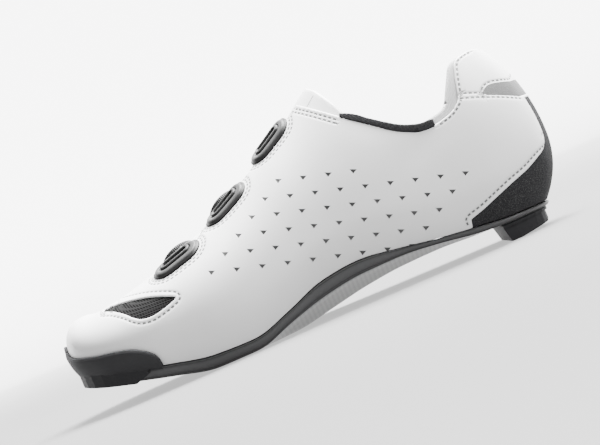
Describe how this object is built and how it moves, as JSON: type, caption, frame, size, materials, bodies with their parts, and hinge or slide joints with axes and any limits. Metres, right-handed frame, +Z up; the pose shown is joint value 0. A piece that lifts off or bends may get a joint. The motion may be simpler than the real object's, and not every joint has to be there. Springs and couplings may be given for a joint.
{
  "type": "cycling shoe",
  "caption": "Low-cut road cycling shoe with stiff sole, toe and heel pads, perforated upper, oblong lace guides and lace dials.",
  "frame": {"origin": "centre of the flat cleat seat under the ball of the foot, where the sole touches the floor", "axes": "+X towards the heel, +Y towards the outer side, +Z up"},
  "size_m": [0.2903, 0.0991, 0.121],
  "materials": {
    "white_leather": "white coated, satin",
    "rubber": "matte dark grey",
    "composite": "dark grey composite with a lacquered twill underside",
    "microfibre": "dark speckled microfibre",
    "reflective": "grey reflective film",
    "mesh": "dark ribbed mesh",
    "knit": "dark knit",
    "lining": "light grey padded lining",
    "insole": "grey brushed fabric",
    "guide": "satin grey",
    "dial": "dark, knurled",
    "lace": "thin braided grey lace"
  },
  "bodies": {
    "root": {"outsole": "composite", "toe_pad": "rubber", "heel_pad": "rubber", "toe_guard": "rubber", "upper": "white_leather", "tongue": "white_leather", "heel_counter": "microfibre", "heel_patch": "reflective", "vent_mesh_medial": "mesh", "vent_mesh_lateral": "mesh", "collar_binding_medial": "knit", "collar_binding_lateral": "knit", "collar_lining": "lining", "insole": "insole", "lace_guide_1": "guide", "lace_guide_2": "guide", "lace_guide_3": "guide", "lace_guide_4": "guide", "dial_base_1": "dial", "dial_base_2": "dial", "dial_knob_1": "dial", "dial_knob_2": "dial", "lace_1": "lace", "lace_2": "lace", "lace_3": "lace"}
  },
  "joints": []
}
